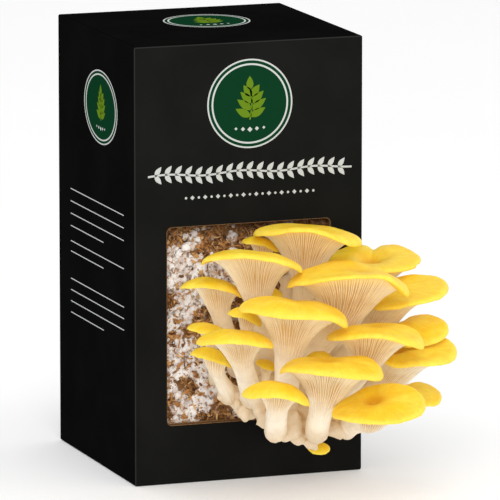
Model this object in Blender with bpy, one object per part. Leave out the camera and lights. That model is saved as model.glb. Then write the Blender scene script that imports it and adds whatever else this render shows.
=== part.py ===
# Golden oyster mushroom grow kit: a printed carton with a window, the straw block inside it,
# and the cluster of mushrooms that grows out through the window.
# Metres, +Z up. The origin is the centre of the carton's bottom. The window faces -Y.

import math
from collections import namedtuple

import bmesh
import bpy
from mathutils import Matrix, Vector, noise

MM = 0.001

# Carton
CARTON_WIDTH = 136 * MM
CARTON_DEPTH = 136 * MM
CARTON_HEIGHT = 250 * MM
BOARD = 1.6 * MM
FOLD_CHAMFER = 0.7 * MM
SEAM_WIDTH = 0.6 * MM
SEAM_DEPTH = 0.7 * MM
SEAM_INSET = 1.6 * MM

# Window in the front panel
WINDOW_WIDTH = 98 * MM
WINDOW_LOW = 33.5 * MM
WINDOW_HIGH = 147 * MM
WINDOW_RADIUS = 3 * MM
CORNER_STEPS = 3

# Straw block
GAP = 0.3 * MM
BLOCK_SIDE_GAP = 0.6 * MM
BLOCK_HEIGHT = 226 * MM
BLOCK_RECESS = 3.6 * MM
BLOCK_LUMP = 1.1 * MM
BLOCK_COLUMNS = 10
BLOCK_ROWS = 16

# Fused base of the cluster
BASE_VOXEL = 8 * MM
FOOT_COLLAR = 2.5 * MM
FOOT_DEPTH = 1.5 * MM
PANEL_CLEARANCE = 0.5 * MM
SOCKET_GAP = 0.4 * MM

# Mushroom proportions, as shares of the cap's mean half width unless they say mm
FUNNEL_CURVE = 1.6
CROWN_POWER = 2.4
DIMPLE_SPREAD = 0.3
RIM_POWER = 2.5
CAP_RIM_THICK = 1.3 * MM
CAP_CORE_THICK = 4.0 * MM
NEST_GAP = 0.5 * MM
UNDERSIDE_EDGE = 0.985
STEM_EDGE = 0.93
VIEW_TURN = -20
STEM_RISE = Vector((0, -0.24, 0.97))
SMALL_CAP = 14
WIDE_CAP = 20

# One row per mushroom, in millimetres and degrees, from the top of the cluster to its bottom.
# cap: centre of the rim. half: half width across and half depth. roll: right side down.
# pitch: front side up. crown: dome height. dimple: hollow over the stem.
# axis: where the stem meets the cap, from the rim's centre.
# rim: lift of the rim out of its plane at eight points, from the right tip round by the back.
# root: end of the stem in the base. neck, foot: stem radii. flare: height of the gilled
# funnel as a share of the cap's mean half width.
Growth = namedtuple(
    "Growth", "cap half roll pitch crown dimple axis rim root neck foot flare", defaults=(0.85,)
)
FLAT_RIM = (0, 0, 0, 0, 0, 0, 0, 0)

GROWTHS = (
    Growth((22, -104, 143), (30.5, 22), 4.5, 4, 7.5, 1.5, (-1, 4), (0, 1, 3, 1, 0, 2.2, 6.1, 0.7),
           (26, -84, 78), 6.5, 6),
    Growth((1, -84, 136), (10.8, 10), 14, 8, 5.5, 0.5, (1, 0), (0, 1, 1, 0, 0, 0, 1, 0),
           (12, -73, 87), 3.4, 3.4),
    Growth((-17, -121, 132), (27.5, 20), 5, 4, 9.5, 1.5, (1, 4), (0, 1.5, 3, 1.5, 0, 4.6, 6.9, 4.5),
           (5, -88, 66), 7, 6),
    Growth((-32.5, -98, 114), (18.3, 14), 9, 4, 8.8, 0.5, (2, 3), (0, 1, 2, 1, 0, 2.4, 4.4, 2.9),
           (-12, -80, 66), 5.5, 5),
    Growth((63.5, -92.5, 125.5), (27.8, 24), 0, -8, 2.5, 4, (-4, 2), (0, 1.4, 1, 0.2, 0, 0, 1, 0),
           (46, -79, 68), 5.5, 5.5, 0.7),
    Growth((32, -140, 120), (33.6, 26), 3, -6, 11, 3, (5, 8), (0, 2.5, 8.8, 3.5, 0, 7.4, 13.8, 12.6),
           (17, -101, 63), 8.5, 7.5, 0.9),
    Growth((73, -125, 112), (23.8, 21), -11, -12, 2.5, 3, (-14, 9), (0, 1.8, 2.4, 1.5, 0, 0, 1.2, 0),
           (40, -88, 57.5), 6, 5.5, 0.9),
    Growth((77, -133.5, 92), (16.5, 17), -8, -22, 2.5, 1.5, (-8, 14), FLAT_RIM,
           (49, -93, 48), 3.6, 4, 0.5),
    Growth((72, -147, 81.5), (21.5, 20), -5, -10, 2.5, 2.5, (-12, 5), (0, 3.5, 1.3, 0, 0, -0.6, 1, -0.7),
           (45, -105, 39), 6, 5.5, 0.95),
    Growth((41.5, -158, 93), (27.6, 20), 3.3, -3, 8.5, 2, (0, 6), (0, 5.8, 3.9, -1.2, 0, 3.3, 7.2, 3),
           (33, -116, 44), 6.5, 6),
    Growth((-5.5, -154, 109.5), (30, 22), 8.6, 0, 9, 2, (0, 5), (0, 5, 3, 3, 0, 1.8, 2.5, 4.5),
           (4, -116, 49), 7.5, 7),
    Growth((-24, -127, 104), (9.9, 9), 20, 5, 6.5, 0.3, (1, 2), (0, 0, 0, 0, 0, 0, 1, 0),
           (-4, -96, 62), 3.6, 4),
    Growth((11, -172, 80), (29.3, 21), 1.5, -1, 7, 2.5, (-2, 5), (0, 5.9, 2.3, 3.5, 0, 3.9, 2.5, 0.6),
           (15, -138, 41), 7, 7.5),
    Growth((37, -178, 58), (26.5, 22), -5, -22, 5, 5, (-3, 7), (0, 3.1, 4, -2, 0, 4.5, 4, 2.2),
           (36, -130, 38), 6.5, 6, 0.6),
    Growth((81, -125.5, 53.5), (13, 12), 8, -21, 2.5, 0.5, (-6, 2), (0, 0, 1.2, 0, 0, 0, 1.2, 0),
           (57, -100, 38), 3.6, 3.6, 0.6),
    Growth((-37, -103, 93), (11.8, 10), 12, 4, 5.3, 0.3, (2, 2), (0, 0, 1, 0, 0, 0, 0, 0),
           (-23.5, -76, 60), 3.4, 3.4),
    Growth((-35.5, -145, 94), (21, 16), 2, 2, 8, 0.7, (2, 3), (0, 2, 2, 2.5, 0, 1.3, 3, 1.3),
           (-13, -107, 54.5), 6, 6),
    Growth((-40, -116, 80), (12.2, 10), 17, 8, 6.9, 0.3, (2, 2), (0, 0, 1, 0, 0, 0, 0, 0),
           (-22.5, -95, 54), 4, 5, 1),
    Growth((-7.5, -118, 75.5), (6.2, 6), 17, -14, 1.5, 0.3, (0, 0), FLAT_RIM,
           (-3, -106, 56), 2.6, 2.8),
    Growth((18, -134, 80), (7.9, 8), 0, 10, 4.5, 0.3, (0, 0), (0, 0, 0, 0, 0, 0, 0.4, 0),
           (25, -117, 55), 2.8, 2.8),
    Growth((-20, -168, 66), (19.5, 15), 9, 2, 10.3, 0.5, (1, 3), (0, 0, 2, 0, 0, 0.7, 3.8, 2.4),
           (-8, -134, 43), 6, 7.5),
    Growth((22.5, -120, 26), (6.2, 6), 15, -42, 2, 0.3, (-1, 0), FLAT_RIM,
           (20, -106, 29), 2.6, 2.8),
    Growth((0, -95, 112), (10, 9), 14, 5, 4, 0.3, (0, 0), FLAT_RIM,
           (6, -79, 78), 3, 3),
)

# Knobs that fuse into the base, besides one round each foot: centre and radii in millimetres
BASE_LUMPS = (
    ((14, -78, 70), (24, 14, 16)),
    ((20, -92, 54), (27, 18, 15)),
    ((17, -108, 44), (22, 16, 11)),
    ((6, -121, 40), (16, 12, 8)),
    ((-13, -90, 58), (9, 12, 8)),
    ((34, -118, 38), (12, 13, 8)),
)


def remove_old_objects():
    for old in list(bpy.data.objects):
        bpy.data.objects.remove(old, do_unlink=True)


def surface(name, color, roughness):
    material = bpy.data.materials.new(name)
    material.use_nodes = True
    shader = material.node_tree.nodes["Principled BSDF"]
    shader.inputs["Base Color"].default_value = (*color, 1)
    shader.inputs["Roughness"].default_value = roughness
    shader.inputs["Metallic"].default_value = 0
    return material


def add_object(name, shape, material, sharp_degrees=None):
    bmesh.ops.recalc_face_normals(shape, faces=shape.faces)
    mesh = bpy.data.meshes.new(name)
    shape.to_mesh(mesh)
    shape.free()
    if material:
        mesh.materials.append(material)
    if sharp_degrees:
        mesh.shade_smooth()
        mesh.set_sharp_from_angle(angle=math.radians(sharp_degrees))
    placed = bpy.data.objects.new(name, mesh)
    bpy.context.scene.collection.objects.link(placed)
    return placed


def box_shape(low, high):
    shape = bmesh.new()
    size = Vector(high) - Vector(low)
    centre = (Vector(high) + Vector(low)) / 2
    place = Matrix.Translation(centre) @ Matrix.Diagonal((*size, 1))
    bmesh.ops.create_cube(shape, size=1, matrix=place)
    return shape


def make_cutter(name, shape):
    cutter = add_object(name, shape, None)
    cutter.hide_render = True
    cutter.display_type = "WIRE"
    return cutter


def cut(target, cutter):
    boolean = target.modifiers.new(cutter.name, "BOOLEAN")
    boolean.operation = "DIFFERENCE"
    boolean.solver = "EXACT"
    boolean.object = cutter


def rounded_window_outline():
    """Points of the window's outline, counter-clockwise seen from the front."""
    half = WINDOW_WIDTH / 2 - WINDOW_RADIUS
    low = WINDOW_LOW + WINDOW_RADIUS
    high = WINDOW_HIGH - WINDOW_RADIUS
    corners = ((half, low, -90), (half, high, 0), (-half, high, 90), (-half, low, 180))
    points = []
    for x, z, first in corners:
        for step in range(CORNER_STEPS + 1):
            angle = math.radians(first + 90 * step / CORNER_STEPS)
            points.append((x + WINDOW_RADIUS * math.cos(angle), z + WINDOW_RADIUS * math.sin(angle)))
    return points


def window_cutter():
    shape = bmesh.new()
    front = -CARTON_DEPTH / 2 - BOARD
    corners = [shape.verts.new((x, front, z)) for x, z in rounded_window_outline()]
    face = shape.faces.new(corners)
    swept = bmesh.ops.extrude_face_region(shape, geom=[face])
    moved = [item for item in swept["geom"] if isinstance(item, bmesh.types.BMVert)]
    bmesh.ops.translate(shape, verts=moved, vec=(0, 3 * BOARD, 0))
    return make_cutter("window_cutter", shape)


def make_carton(material):
    half_x = CARTON_WIDTH / 2
    half_y = CARTON_DEPTH / 2
    shape = box_shape((-half_x, -half_y, 0), (half_x, half_y, CARTON_HEIGHT))
    bmesh.ops.bevel(shape, geom=shape.edges[:], offset=FOLD_CHAMFER, segments=1, affect="EDGES")
    carton = add_object("carton", shape, material)

    low = (-half_x + BOARD, -half_y + BOARD, BOARD)
    high = (half_x - BOARD, half_y - BOARD, CARTON_HEIGHT - BOARD)
    cut(carton, make_cutter("hollow_cutter", box_shape(low, high)))
    cut(carton, window_cutter())

    # The end panels meet the side walls in an open seam at the left and at the right.
    for side in (-1, 1):
        seam_x = side * (half_x - SEAM_INSET)
        for end, z in (("top", CARTON_HEIGHT), ("bottom", 0)):
            low = (seam_x - SEAM_WIDTH / 2, -half_y + BOARD, z - SEAM_DEPTH)
            high = (seam_x + SEAM_WIDTH / 2, half_y - BOARD, z + SEAM_DEPTH)
            side_name = "left" if side < 0 else "right"
            cut(carton, make_cutter(f"seam_cutter_{end}_{side_name}", box_shape(low, high)))
    return carton


def make_block(material):
    half_x = CARTON_WIDTH / 2 - BOARD - BLOCK_SIDE_GAP
    back = CARTON_DEPTH / 2 - BOARD - BLOCK_SIDE_GAP
    front = -CARTON_DEPTH / 2 + BOARD + BLOCK_RECESS
    low = BOARD + GAP
    high = low + BLOCK_HEIGHT
    shape = bmesh.new()
    columns = BLOCK_COLUMNS + 1
    rows = BLOCK_ROWS + 1
    grid = []
    for row in range(rows):
        z = low + (high - low) * row / BLOCK_ROWS
        line = []
        for column in range(columns):
            x = -half_x + 2 * half_x * column / BLOCK_COLUMNS
            inside = 0 < row < BLOCK_ROWS and 0 < column < BLOCK_COLUMNS
            lump = noise.noise(Vector((x, 0.3, z)) * 55) * BLOCK_LUMP if inside else 0
            line.append(shape.verts.new((x, front - lump, z)))
        grid.append(line)
    for row in range(BLOCK_ROWS):
        for column in range(BLOCK_COLUMNS):
            shape.faces.new((grid[row][column], grid[row][column + 1],
                             grid[row + 1][column + 1], grid[row + 1][column]))
    swept = bmesh.ops.extrude_edge_only(shape, edges=[e for e in shape.edges if e.is_boundary])
    moved = [item for item in swept["geom"] if isinstance(item, bmesh.types.BMVert)]
    for vert in moved:
        vert.co.y = back
    rim = [item for item in swept["geom"] if isinstance(item, bmesh.types.BMEdge) and item.is_boundary]
    bmesh.ops.holes_fill(shape, edges=rim)
    return add_object("substrate_block", shape, material)


class Mushroom:
    """Shape functions of one mushroom. Cap coordinates are metres in the rim's plane."""

    def __init__(self, growth):
        self.growth = growth
        self.centre = Vector(growth.cap) * MM
        self.half_x, self.half_y = (value * MM for value in growth.half)
        self.mean = (self.half_x + self.half_y) / 2
        turn = Matrix.Rotation(math.radians(VIEW_TURN), 3, "Z")
        roll = Matrix.Rotation(math.radians(growth.roll), 3, "Y")
        pitch = Matrix.Rotation(math.radians(-growth.pitch), 3, "X")
        self.frame = turn @ roll @ pitch
        self.across, self.away, self.normal = (self.frame.col[index] for index in range(3))
        self.axis = Vector((growth.axis[0], growth.axis[1])) * MM
        self.small = growth.half[0] < SMALL_CAP
        self.segments = 10 if self.small else 12 if growth.half[0] < WIDE_CAP else 14
        self.neck = growth.neck * MM
        self.foot = growth.foot * MM
        self.funnel = growth.flare * self.mean
        self.thick = self.mean / (26 * MM)
        self.spine = self.spine_controls()

    def outline(self, angle):
        """Share of the plain ellipse that the rim reaches at an angle."""
        start = self.growth.cap[0]
        return 1 + 0.025 * math.sin(2 * angle + start) + 0.02 * math.sin(3 * angle + 2 * start)

    def rim_point(self, angle):
        reach = self.outline(angle)
        return Vector((self.half_x * reach * math.cos(angle), self.half_y * reach * math.sin(angle)))

    def rim_lift(self, angle):
        """Smooth curve through the eight lifts of the rim."""
        lifts = self.growth.rim
        place = (angle / (2 * math.pi) * len(lifts)) % len(lifts)
        index = int(place)
        part = place - index
        before, here, there, after = (lifts[(index + step) % len(lifts)] for step in (-1, 0, 1, 2))
        bend = part * part * (3 - 2 * part)
        slope_here = (there - before) / 2
        slope_there = (after - here) / 2
        ends = here + (there - here) * bend
        return ends + part * (1 - part) * (slope_here * (1 - part) - slope_there * part)

    def height(self, point):
        """Height of the cap's skin over the rim's plane."""
        growth = self.growth
        flat = Vector((point.x / self.half_x, point.y / self.half_y))
        angle = math.atan2(flat.y, flat.x)
        share = flat.length / self.outline(angle)
        crown = growth.crown * (1 - share ** CROWN_POWER)
        off_axis = (point - self.axis).length / (DIMPLE_SPREAD * self.mean)
        dimple = growth.dimple * math.exp(-off_axis ** 2)
        lift = self.rim_lift(angle) * share ** RIM_POWER
        return (crown - dimple + lift) * MM

    def thickness(self, share):
        return (CAP_RIM_THICK + (CAP_CORE_THICK - CAP_RIM_THICK) * (1 - share)) * self.thick

    def at(self, share, angle):
        """Point in the rim's plane between the stem's axis (0) and the rim (1)."""
        return self.axis.lerp(self.rim_point(angle), share)

    def skin(self, share, angle, below=0.0):
        point = self.at(share, angle)
        local = Vector((point.x, point.y, self.height(point) - below))
        return self.centre + self.frame @ local

    def underside(self, share, angle, gap=0.0):
        return self.skin(share, angle, self.thickness(share) + gap)

    def spine_controls(self):
        root = Vector(self.growth.root) * MM
        top = self.underside(0, 0)
        length = (top - root).length
        lean = (top - root).normalized()
        leave = (STEM_RISE * 0.3 + lean * 0.7).normalized()
        arrive = (self.normal * 0.6 + lean * 0.4).normalized()
        return root, root + leave * 0.35 * length, top - arrive * 0.4 * length, top

    def spine_at(self, share):
        """Point and direction on the spine: share 0 at the root, 1 under the cap."""
        a, b, c, d = self.spine
        rest = 1 - share
        point = a * rest ** 3 + b * 3 * share * rest ** 2 + c * 3 * share ** 2 * rest + d * share ** 3
        slope = (b - a) * rest ** 2 + (c - b) * 2 * share * rest + (d - c) * share ** 2
        return point, slope.normalized()

    def spine_length(self):
        steps = [self.spine_at(index / 20)[0] for index in range(21)]
        return sum((after - before).length for before, after in zip(steps, steps[1:]))

    def stem_ring(self, drop, length, swell=0.0):
        """Ring of the gilled funnel and stem at a distance below the cap."""
        point, slope = self.spine_at(1 - drop / length)
        blend = min(max((drop / self.funnel - 0.2) / 0.8, 0), 1)
        normal = self.normal.lerp(slope, blend * blend * (3 - 2 * blend)).normalized()
        across = (self.across - normal * self.across.dot(normal)).normalized()
        away = normal.cross(across)
        wide = max(1 - drop / self.funnel, 0) ** FUNNEL_CURVE
        low = max(drop - self.funnel, 0) / max(length - self.funnel, MM)
        radius = self.neck + (self.foot - self.neck) * low
        middle = self.height(self.axis) - self.thickness(0)
        ring = []
        for index in range(self.segments):
            angle = 2 * math.pi * index / self.segments
            edge = self.at(STEM_EDGE, angle) - self.axis
            circle = Vector((math.cos(angle), math.sin(angle))) * radius
            reach = edge * wide + circle * (1 - wide) + circle / radius * swell
            place = self.axis + reach
            flat = Vector((place.x / self.half_x, place.y / self.half_y)).length
            lift = (self.height(place) - self.thickness(min(flat, 1)) - middle) * wide ** 0.5
            ring.append(point + across * reach.x + away * reach.y + normal * lift)
        return ring


def bridge(shape, rings, first_tip, last_tip):
    """Close a body from its rings of points, with a tip point at either end."""
    rows = [[shape.verts.new(point) for point in ring] for ring in rings]
    count = len(rows[0])
    for row, following in zip(rows, rows[1:]):
        for index in range(count):
            after = (index + 1) % count
            shape.faces.new((row[index], row[after], following[after], following[index]))
    for row, tip in ((rows[0], first_tip), (rows[-1], last_tip)):
        middle = shape.verts.new(tip)
        for index in range(count):
            shape.faces.new((row[index], row[(index + 1) % count], middle))
    # Short diagonals on both sides keep the gap between a cap and its stem even.
    bmesh.ops.triangulate(shape, faces=shape.faces[:], quad_method="SHORT_EDGE")


def ring_of(mushroom, place):
    return [place(2 * math.pi * index / mushroom.segments) for index in range(mushroom.segments)]


def make_cap(number, mushroom, material):
    top_shares = (0.45, 0.8, 1) if mushroom.small else (0.3, 0.62, 0.87, 1)
    rings = [ring_of(mushroom, lambda angle, s=share: mushroom.skin(s, angle)) for share in top_shares]
    for share in (UNDERSIDE_EDGE, 0.55):
        rings.append(ring_of(mushroom, lambda angle, s=share: mushroom.underside(s, angle)))
    shape = bmesh.new()
    bridge(shape, rings, mushroom.skin(0, 0), mushroom.underside(0, 0))
    return add_object(f"cap_{number:02d}", shape, material, sharp_degrees=60)


def lower_rings(mushroom, swell=0.0):
    """Rings of the funnel and stem, from under the rim to the foot."""
    length = mushroom.spine_length()
    drops = (0.3, 0.65, 1) if mushroom.small else (0.14, 0.36, 0.65, 1)
    shares = (0.88,) if mushroom.small else (0.45, 0.9)
    below = [drop * mushroom.funnel for drop in drops]
    below += [mushroom.funnel + (length - mushroom.funnel) * share for share in shares]
    return [mushroom.stem_ring(drop, length, swell) for drop in below]


def make_stem(number, mushroom, material):
    inner = ring_of(mushroom, lambda angle: mushroom.underside(0.55, angle, NEST_GAP))
    outer = ring_of(mushroom, lambda angle: mushroom.underside(UNDERSIDE_EDGE, angle, NEST_GAP))
    along = (STEM_EDGE - 0.55) / (UNDERSIDE_EDGE - 0.55)
    edge = [near.lerp(far, along) for near, far in zip(inner, outer)]
    shape = bmesh.new()
    rings = [inner, edge] + lower_rings(mushroom)
    bridge(shape, rings, mushroom.underside(0, 0, NEST_GAP), mushroom.spine_at(0)[0])
    return add_object(f"stem_{number:02d}", shape, material, sharp_degrees=60)


def make_foot_cutter(number, mushroom):
    """The stem below its gills, swollen by the gap, that leaves a socket in the base."""
    rings = lower_rings(mushroom, SOCKET_GAP)[2:]
    top = sum(rings[0], Vector()) / len(rings[0])
    root, slope = mushroom.spine_at(0)
    shape = bmesh.new()
    bridge(shape, rings, top, root - slope * 2 * SOCKET_GAP)
    return make_cutter(f"foot_cutter_{number:02d}", shape)


def make_base(mushrooms, material):
    shape = bmesh.new()
    lumps = [(Vector(centre) * MM, Vector(radii) * MM) for centre, radii in BASE_LUMPS]
    for mushroom in mushrooms:
        root, slope = mushroom.spine_at(0)
        collar = mushroom.foot + FOOT_COLLAR
        lumps.append((root - slope * FOOT_DEPTH, Vector((collar, collar, collar))))
    for centre, radii in lumps:
        place = Matrix.Translation(centre) @ Matrix.Diagonal((*radii, 1))
        bmesh.ops.create_icosphere(shape, subdivisions=2, radius=1, matrix=place)
    base = add_object("mushroom_base", shape, material, sharp_degrees=60)
    fuse = base.modifiers.new("fuse", "REMESH")
    fuse.mode = "VOXEL"
    fuse.voxel_size = BASE_VOXEL
    fuse.use_smooth_shade = True

    front = -CARTON_DEPTH / 2
    wide = CARTON_WIDTH
    panel_face = front - PANEL_CLEARANCE
    block_face = front + BOARD + BLOCK_RECESS - BLOCK_LUMP - PANEL_CLEARANCE
    sill = WINDOW_LOW + PANEL_CLEARANCE
    cut(base, make_cutter("block_cutter", box_shape((-wide, block_face, -wide), (wide, wide, 2 * wide))))
    cut(base, make_cutter("sill_cutter", box_shape((-wide, panel_face, -wide), (wide, 0, sill))))
    for number, mushroom in enumerate(mushrooms, 1):
        cut(base, make_foot_cutter(number, mushroom))
    return base


def build():
    remove_old_objects()
    black_board = surface("black_board", (0.012, 0.012, 0.012), 0.55)
    straw = surface("straw_and_mycelium", (0.62, 0.5, 0.38), 0.9)
    yellow_skin = surface("yellow_skin", (0.86, 0.6, 0.02), 0.45)
    cream_flesh = surface("cream_flesh", (0.84, 0.7, 0.5), 0.6)

    make_carton(black_board)
    make_block(straw)
    mushrooms = [Mushroom(growth) for growth in GROWTHS]
    make_base(mushrooms, cream_flesh)
    for number, mushroom in enumerate(mushrooms, 1):
        make_cap(number, mushroom, yellow_skin)
        make_stem(number, mushroom, cream_flesh)


build()
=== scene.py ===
# Looks of the golden oyster grow kit: a printed carton with a window, the straw block in it,
# and the cluster of yellow caps on gilled stems that grows out of the window.

import math

import bmesh
import bpy
import numpy as np
from mathutils import Matrix, Vector, noise


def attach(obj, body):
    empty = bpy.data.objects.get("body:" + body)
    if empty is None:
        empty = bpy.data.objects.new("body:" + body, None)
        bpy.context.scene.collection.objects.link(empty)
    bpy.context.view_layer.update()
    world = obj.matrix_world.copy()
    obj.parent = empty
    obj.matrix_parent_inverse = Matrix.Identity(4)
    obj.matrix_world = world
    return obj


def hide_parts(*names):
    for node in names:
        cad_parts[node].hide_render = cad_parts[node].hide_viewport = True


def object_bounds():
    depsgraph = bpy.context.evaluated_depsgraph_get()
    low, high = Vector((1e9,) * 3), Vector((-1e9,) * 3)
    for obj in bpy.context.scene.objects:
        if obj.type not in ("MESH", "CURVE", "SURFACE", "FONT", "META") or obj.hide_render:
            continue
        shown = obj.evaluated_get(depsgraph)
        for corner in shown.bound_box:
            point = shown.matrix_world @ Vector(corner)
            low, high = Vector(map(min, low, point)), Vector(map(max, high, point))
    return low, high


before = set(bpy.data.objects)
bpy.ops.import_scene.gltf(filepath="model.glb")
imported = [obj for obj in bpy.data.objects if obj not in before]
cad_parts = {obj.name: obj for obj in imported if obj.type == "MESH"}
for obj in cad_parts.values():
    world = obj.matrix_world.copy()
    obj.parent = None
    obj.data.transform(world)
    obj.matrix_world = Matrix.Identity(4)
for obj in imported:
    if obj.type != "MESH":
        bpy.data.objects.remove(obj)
cadLow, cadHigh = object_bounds()

mm = 0.001
scene = bpy.context.scene
scene.view_settings.view_transform = "Standard"
bodyName = "root"
print("frame loaded:", len(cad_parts), "nodes")


# The camera stands far off with a long lens, as the photo's lines hardly converge.
cameraPlan = {
    "azimuth": -19.75,
    "elevation": 10.42,
    "distance": 3.8625,
    "aim": (0.02498, 0.0, 0.11806),
    "lens": 484.6,
    "sensor": 36.0,
}


def placeCamera(plan):
    turn, rise = math.radians(plan["azimuth"]), math.radians(plan["elevation"])
    back = Vector((math.sin(turn) * math.cos(rise), -math.cos(turn) * math.cos(rise), math.sin(rise)))
    data = bpy.data.cameras.new("kitCamera")
    data.lens, data.sensor_width = plan["lens"], plan["sensor"]
    data.clip_start, data.clip_end = 0.1, 20
    camera = bpy.data.objects.new("kitCamera", data)
    scene.collection.objects.link(camera)
    camera.location = Vector(plan["aim"]) + back * plan["distance"]
    camera.rotation_mode = "QUATERNION"
    camera.rotation_quaternion = (-back).to_track_quat("-Z", "Y")
    scene.camera = camera


placeCamera(cameraPlan)


# Short ways to add and join shader nodes.
def put(tree, kind, inputs=None, **settings):
    node = tree.nodes.new("ShaderNode" + kind)
    for name, value in settings.items():
        setattr(node, name, value)
    for name, value in (inputs or {}).items():
        if isinstance(value, bpy.types.NodeSocket):
            tree.links.new(value, node.inputs[name])
        else:
            node.inputs[name].default_value = value
    return node


def mixColor(tree, share, first, second):
    return put(tree, "Mix", {0: share, 6: first, 7: second}, data_type="RGBA").outputs[2]


def calc(tree, operation, first, second=0.0, clamp=False):
    return put(tree, "Math", {0: first, 1: second}, operation=operation, use_clamp=clamp).outputs[0]


def spread(tree, value, low, high, start=0.0, end=1.0):
    inputs = {"Value": value, "From Min": low, "From Max": high, "To Min": start, "To Max": end}
    return put(tree, "MapRange", inputs, interpolation_type="SMOOTHSTEP").outputs[0]


def rgb(red, green, blue):
    return (red, green, blue, 1)


def stored(tree, name):
    return put(tree, "Attribute", attribute_name=name)


def newMaterial(name, **sockets):
    material = bpy.data.materials.new(name)
    material.use_nodes = True
    tree = material.node_tree
    shader = tree.nodes["Principled BSDF"]
    for socket, value in sockets.items():
        shader.inputs[socket.replace("_", " ")].default_value = value
    return material, tree, shader


def newGroup(name, inputs, outputs):
    tree = bpy.data.node_groups.new(name, "ShaderNodeTree")
    for label, kind, value in inputs:
        socket = tree.interface.new_socket(label, in_out="INPUT", socket_type="NodeSocket" + kind)
        if value is not None:
            socket.default_value = value
    for label, kind in outputs:
        tree.interface.new_socket(label, in_out="OUTPUT", socket_type="NodeSocket" + kind)
    entry = tree.nodes.new("NodeGroupInput")
    leave = tree.nodes.new("NodeGroupOutput")
    return tree, entry, leave


def useGroup(tree, group, inputs):
    node = tree.nodes.new("ShaderNodeGroup")
    node.node_tree = group
    for name, value in inputs.items():
        if isinstance(value, bpy.types.NodeSocket):
            tree.links.new(value, node.inputs[name])
        else:
            node.inputs[name].default_value = value
    return node


def placeVector(tree):
    return put(tree, "TexCoord").outputs["Object"]


def buildMottle():
    tree, entry, leave = newGroup(
        "softMottle",
        [("Place", "Vector", None), ("Scale", "Float", 100.0), ("Detail", "Float", 4.0),
         ("Low", "Float", 0.4), ("High", "Float", 0.6)],
        [("Mask", "Float")],
    )
    cloud = put(tree, "TexNoise", {"Vector": entry.outputs["Place"], "Scale": entry.outputs["Scale"],
                                   "Detail": entry.outputs["Detail"], "Roughness": 0.55})
    mask = spread(tree, cloud.outputs["Fac"], entry.outputs["Low"], entry.outputs["High"])
    tree.links.new(mask, leave.inputs["Mask"])
    return tree


def buildGrain():
    tree, entry, leave = newGroup(
        "fineGrain",
        [("Place", "Vector", None), ("Coarse", "Float", 400.0), ("Fine", "Float", 1500.0),
         ("Fine Share", "Float", 0.5)],
        [("Height", "Float")],
    )
    coarse = put(tree, "TexNoise", {"Vector": entry.outputs["Place"], "Scale": entry.outputs["Coarse"],
                                    "Detail": 3.0}).outputs["Fac"]
    fine = put(tree, "TexNoise", {"Vector": entry.outputs["Place"], "Scale": entry.outputs["Fine"],
                                  "Detail": 2.0}).outputs["Fac"]
    mixed = put(tree, "Mix", {0: entry.outputs["Fine Share"], 2: coarse, 3: fine}, data_type="FLOAT")
    tree.links.new(mixed.outputs[0], leave.inputs["Height"])
    return tree


softMottle = buildMottle()
fineGrain = buildGrain()


def mottle(tree, place, scale, low, high, detail=4.0):
    values = {"Place": place, "Scale": scale, "Low": low, "High": high, "Detail": detail}
    return useGroup(tree, softMottle, values).outputs["Mask"]


def grain(tree, place, coarse, fine, fineShare=0.5):
    values = {"Place": place, "Coarse": coarse, "Fine": fine, "Fine Share": fineShare}
    return useGroup(tree, fineGrain, values).outputs["Height"]


def addBump(tree, shader, height, strength, distance):
    bump = put(tree, "Bump", {"Height": height, "Strength": strength, "Distance": distance})
    tree.links.new(bump.outputs["Normal"], shader.inputs["Normal"])


# All colours are linear values.
capLooks = {
    "yellow": (0.90, 0.62, 0.024),
    "pale": (0.92, 0.73, 0.10),
    "deep": (0.83, 0.45, 0.012),
    "paintedHollowShade": (0.71, 0.34, 0.010),
    "lip": (0.95, 0.72, 0.12),
    "patchShare": 0.55,
    "cloudShare": 0.36,
    "streakShare": 0.42,
    "roughness": 0.5,
    "glow": 0.07,
}


def makeCapSkin(looks):
    material, tree, shader = newMaterial(
        "goldenSkin", Roughness=looks["roughness"], Subsurface_Weight=0.25,
        Subsurface_Scale=0.004, Specular_IOR_Level=0.3)
    shader.inputs["Subsurface Radius"].default_value = (1.0, 0.5, 0.1)
    place = placeVector(tree)
    silk = stored(tree, "silk").outputs["Vector"]
    shade = stored(tree, "shade").outputs["Fac"]
    lip = stored(tree, "lip").outputs["Fac"]
    patches = mottle(tree, place, 90.0, 0.35, 0.7)
    clouds = mottle(tree, place, 160.0, 0.4, 0.65, 5.0)
    streaks = mottle(tree, silk, 1.0, 0.3, 0.75, 5.0)
    paleShare = calc(tree, "MULTIPLY", patches, looks["patchShare"])
    color = mixColor(tree, paleShare, rgb(*looks["yellow"]), rgb(*looks["pale"]))
    for mask, share in ((clouds, looks["cloudShare"]), (streaks, looks["streakShare"])):
        color = mixColor(tree, calc(tree, "MULTIPLY", mask, share), color, rgb(*looks["deep"]))
    # Painted shade: the skin turns ochre in its hollows and in the dimple over the stem.
    color = mixColor(tree, shade, color, rgb(*looks["paintedHollowShade"]))
    color = mixColor(tree, lip, color, rgb(*looks["lip"]))
    tree.links.new(color, shader.inputs["Base Color"])
    # Painted light: the skin glows faintly in its own colour, to warm its shadows.
    tree.links.new(color, shader.inputs["Emission Color"])
    shader.inputs["Emission Strength"].default_value = looks["glow"]
    roughness = spread(tree, patches, 0, 1, looks["roughness"] - 0.06, looks["roughness"] + 0.1)
    tree.links.new(roughness, shader.inputs["Roughness"])
    height = calc(tree, "ADD", streaks, grain(tree, place, 300.0, 1400.0, 0.35))
    addBump(tree, shader, height, 0.25, 0.0004)
    return material


fleshLooks = {
    "crest": (0.96, 0.90, 0.70),
    "gillShade": (0.50, 0.25, 0.012),
    "rim": (0.90, 0.66, 0.20),
    "stem": (0.88, 0.81, 0.675),
    "foot": (0.64, 0.52, 0.37),
    "creaseShade": (0.42, 0.22, 0.05),
    "shade": (0.72, 0.61, 0.45),
    "glow": (0.9, 0.60, 0.29),
    "glowStrength": 0.125,
    "roughness": 0.55,
}


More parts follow.
